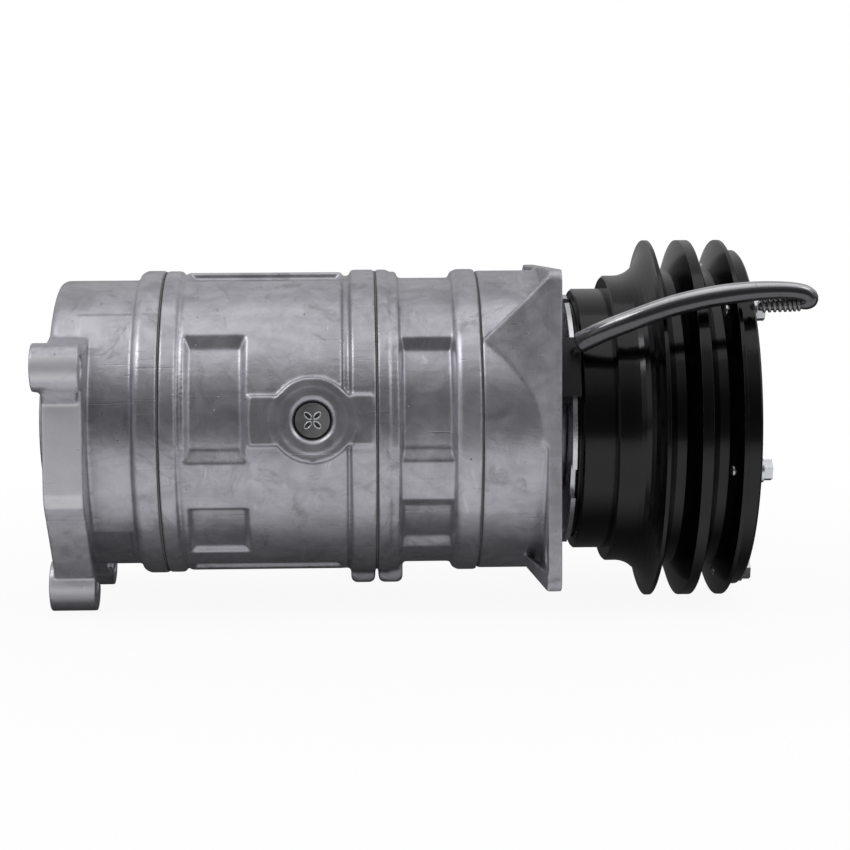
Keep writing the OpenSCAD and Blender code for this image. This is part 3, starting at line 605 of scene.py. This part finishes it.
# Brightness around the shaft: down 0.25, towards the camera 0.5, up 0.75, back 0 and 1
ROOM_LEVELS = [
    (0.0, 0.30), (0.1, 0.06), (0.46, 0.05), (0.55, 0.09), (0.62, 0.35), (0.75, 0.38), (0.9, 0.54),
    (1.0, 0.30),
]
# Brightness of the end walls, from 0.3 below the horizon (0) to 0.5 above it (1)
END_LEVELS = [(0.0, 0.10), (0.3, 0.16), (0.55, 0.60), (1.0, 0.85)]


def floor_material():
    """White paper to the camera; to the object, a lit strip in front and dark paper elsewhere."""
    material = bpy.data.materials.new("studio_floor")
    material.use_nodes = True
    g = Graph(material.node_tree)
    place = g.nodes.new("ShaderNodeTexCoord").outputs["Object"]
    paper = g.nodes["Principled BSDF"]
    paper.inputs["Base Color"].default_value = (0.9, 0.9, 0.9, 1)
    paper.inputs["Roughness"].default_value = 0.9
    glow = g.nodes.new("ShaderNodeEmission")
    fade = g.ranged(g.length(place), 0.1, 0.6, to_min=0.93)
    seen = g.choose(fade, paper.outputs[0], glow.outputs[0])
    depth = g.ranged(g.part(place, "Y"), -0.8, 0.2, smooth=False)
    strip = g.nodes.new("ShaderNodeEmission")
    g.wire(g.ramp(depth, FLOOR_LEVELS), strip.inputs["Color"])
    final = g.choose(g.to_camera(), strip.outputs[0], seen)
    g.wire(final, g.nodes["Material Output"].inputs["Surface"])
    return material


def floor():
    """A wide pale disc just under the object."""
    low, high = cad_bounds
    mesh = bpy.data.meshes.new("studio_floor")
    ring = bmesh.new()
    bmesh.ops.create_circle(ring, cap_ends=True, segments=96, radius=12.0)
    ring.to_mesh(mesh)
    ring.free()
    sheet = bpy.data.objects.new("studio_floor", mesh)
    bpy.context.scene.collection.objects.link(sheet)
    sheet.location = ((low.x + high.x) / 2, 0.0, low.z - 0.0005)
    mesh.materials.append(floor_material())


def world():
    """White to the camera; to the object, a room that is bright above and dark at eye level."""
    scene_world = bpy.data.worlds.new("studio")
    bpy.context.scene.world = scene_world
    scene_world.use_nodes = True
    g = Graph(scene_world.node_tree)
    place = g.nodes.new("ShaderNodeTexCoord").outputs["Generated"]
    white = g.nodes["Background"]
    white.inputs["Color"].default_value = (1, 1, 1, 1)
    white.inputs["Strength"].default_value = 1.0
    height = g.part(place, "Z")
    towards_camera = g.math("MULTIPLY", g.part(place, "Y"), -1.0)
    around = g.math("ARCTAN2", height, towards_camera)
    room = g.ramp(g.ranged(around, -math.pi, math.pi, smooth=False), ROOM_LEVELS)
    end_walls = g.ramp(g.ranged(height, -0.3, 0.5, smooth=False), END_LEVELS)
    at_ends = g.ranged(g.math("ABSOLUTE", g.part(place, "X")), 0.55, 0.97)
    reflected = g.nodes.new("ShaderNodeBackground")
    g.wire(g.mix(at_ends, room, end_walls), reflected.inputs["Color"])
    final = g.choose(g.to_camera(), reflected.outputs[0], white.outputs[0])
    g.wire(final, g.nodes["World Output"].inputs["Surface"])


def softbox(name, place, target, width, height, power):
    """A rectangular soft light aimed at a point."""
    data = bpy.data.lights.new(name, "AREA")
    data.shape = "RECTANGLE"
    data.size, data.size_y = width, height
    data.energy = power
    light = bpy.data.objects.new(name, data)
    bpy.context.scene.collection.objects.link(light)
    light.location = place
    aim = Vector(target) - Vector(place)
    light.rotation_mode = "QUATERNION"
    light.rotation_quaternion = aim.to_track_quat("-Z", "Y")


def camera():
    """A long lens at shaft height, five degrees above the object, facing the plug side."""
    distance = 0.918
    foot = -0.086
    yaw = math.radians(2.085)
    pitch = math.radians(-0.15)
    roll = math.radians(0.5)
    data = bpy.data.cameras.new("camera")
    data.lens = 90.76
    data.sensor_width = 36.0
    data.clip_end = 50.0
    eye = bpy.data.objects.new("camera", data)
    bpy.context.scene.collection.objects.link(eye)
    level = math.cos(pitch)
    forward = Vector((math.sin(yaw) * level, math.cos(yaw) * level, math.sin(pitch)))
    flat_right = forward.cross(Vector((0, 0, 1))).normalized()
    flat_up = flat_right.cross(forward)
    right = flat_right * math.cos(roll) - flat_up * math.sin(roll)
    up = flat_right * math.sin(roll) + flat_up * math.cos(roll)
    tilt = Matrix.Rotation(-VIEW_ELEVATION, 3, "X")
    basis = Matrix((tilt @ right, tilt @ up, tilt @ -forward)).transposed()
    eye.rotation_mode = "QUATERNION"
    eye.rotation_quaternion = basis.to_quaternion()
    eye.location = tilt @ Vector((foot, -distance, 0))
    bpy.context.scene.camera = eye


floor()
world()
CENTRE = (-0.06, 0.0, 0.0)
softbox("overhead", (-0.06, -0.30, 1.0), (-0.06, -0.30, 0.0), 2.4, 1.15, 5.3)
softbox("left_key", (-1.0, -0.5, 1.05), CENTRE, 0.5, 0.5, 2.6)
softbox("right_key", (1.0, -0.5, 0.9), CENTRE, 0.3, 0.6, 1.2)
camera()
bpy.context.scene.view_settings.view_transform = "Standard"
